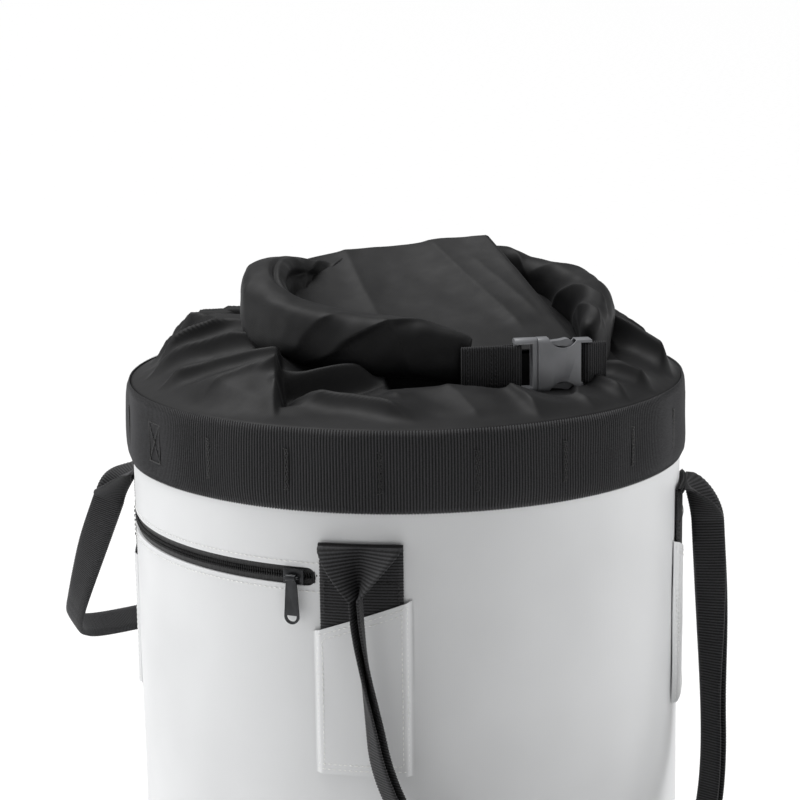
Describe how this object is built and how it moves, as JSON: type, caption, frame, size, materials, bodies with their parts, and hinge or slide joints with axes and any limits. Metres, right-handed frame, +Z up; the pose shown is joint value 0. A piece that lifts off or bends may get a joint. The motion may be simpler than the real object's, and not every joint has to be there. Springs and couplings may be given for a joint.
{
  "type": "rope storage bag",
  "caption": "Free-standing round rope bucket with a rolled nylon top, side-release buckle, webbing rim band, two carry loops and a zipped wall pocket.",
  "frame": {"origin": "centre of the base, on the ground", "axes": "+Z up, -Y the front between the front carry loop's two anchors, +X to the right seen from the front; the zip pocket faces -X"},
  "size_m": [0.356, 0.5522, 0.5899],
  "materials": {
    "tarpaulin": "coated polyester tarpaulin, satin, light grey-white",
    "cover_tarpaulin": "coated polyester tarpaulin, satin",
    "webbing": "black ribbed polyester webbing, matt",
    "thread": "black bonded thread",
    "nylon": "black plain-weave nylon, soft sheen",
    "lining": "black coated lining",
    "board": "black polyethylene board",
    "wire": "nylon-covered hoop wire",
    "zip_tape": "black woven zip tape",
    "zip_coil": "black coil, satin",
    "zip_metal": "black painted zinc, satin",
    "buckle": "dark grey acetal, matt",
    "strip": "polyethylene strip",
    "eyelet": "nickel-plated, satin"
  },
  "bodies": {
    "bucket": {"body_shell": "tarpaulin", "back_seam_tape": "cover_tarpaulin", "base_panel": "tarpaulin", "base_board": "board", "base_binding": "webbing", "drain_eyelet": "eyelet", "drain_washer": "eyelet", "rim_band": "webbing", "rim_band_tacks": "thread", "rim_hoop": "wire", "rim_lining": "lining", "collar": "nylon", "zip_tape_upper": "zip_tape", "zip_tape_lower": "zip_tape", "zip_coil_upper": "zip_coil", "zip_coil_lower": "zip_coil", "zip_stops": "zip_coil", "pocket_liner": "lining", "tie_in_loop_low": "webbing", "tie_in_loop_high": "webbing", "anchor_front_left": "webbing", "anchor_front_right": "webbing", "anchor_rear_right": "webbing", "anchor_rear_left": "webbing", "anchor_cover_front_left": "cover_tarpaulin", "anchor_cover_front_right": "cover_tarpaulin", "anchor_cover_rear_right": "cover_tarpaulin", "anchor_cover_rear_left": "cover_tarpaulin"},
    "slider": {"zip_slider": "zip_metal"},
    "pull": {"zip_pull": "zip_metal"},
    "front_loop": {"carry_loop_front": "webbing"},
    "rear_loop": {"carry_loop_rear": "webbing"},
    "rolled_top": {"rolled_neck": "nylon", "neck_panel": "nylon", "closure_strip": "strip", "buckle_socket": "buckle", "socket_webbing": "webbing"},
    "free_end": {"buckle_plug": "buckle", "plug_webbing": "webbing"},
    "prong_a": {"prong_upper": "buckle"},
    "prong_b": {"prong_lower": "buckle"}
  },
  "joints": [
    {"name": "collar_lift", "type": "slide", "parent": "bucket", "child": "rolled_top", "axis": [0, 0, 1], "range_m": [0, 0.06]},
    {"name": "buckle_release", "type": "slide", "parent": "rolled_top", "child": "free_end", "axis": [-0.8988, 0.4384, 0], "range_m": [0, 0.028]},
    {"name": "prong_a_squeeze", "type": "hinge", "parent": "free_end", "child": "prong_a", "pos_m": [0.01128, -0.12037, 0.5527], "axis": [0.4384, 0.8988, 0], "range_deg": [0, 12]},
    {"name": "prong_b_squeeze", "type": "hinge", "parent": "free_end", "child": "prong_b", "pos_m": [0.01128, -0.12037, 0.5273], "axis": [-0.4384, -0.8988, 0], "range_deg": [0, 12]},
    {"name": "zip_travel", "type": "hinge", "parent": "bucket", "child": "slider", "pos_m": [0, 0, 0.431], "axis": [0, 0, -1], "range_deg": [0, 61]},
    {"name": "pull_swing", "type": "hinge", "parent": "slider", "child": "pull", "pos_m": [-0.15289, -0.09443, 0.431], "axis": [-0.5255, 0.8508, 0], "range_deg": [0, 150]},
    {"name": "front_loop_swing", "type": "hinge", "parent": "bucket", "child": "front_loop", "pos_m": [0, -0.13766, 0.4495], "axis": [-1, 0, 0], "range_deg": [0, 150]},
    {"name": "rear_loop_swing", "type": "hinge", "parent": "bucket", "child": "rear_loop", "pos_m": [0, 0.13766, 0.4495], "axis": [1, 0, 0], "range_deg": [0, 121]}
  ],
  "couplings": [
    {"joint": "prong_a_squeeze", "follows": "buckle_release", "rad_per_m": 7.17},
    {"joint": "prong_b_squeeze", "follows": "buckle_release", "rad_per_m": 7.17}
  ]
}
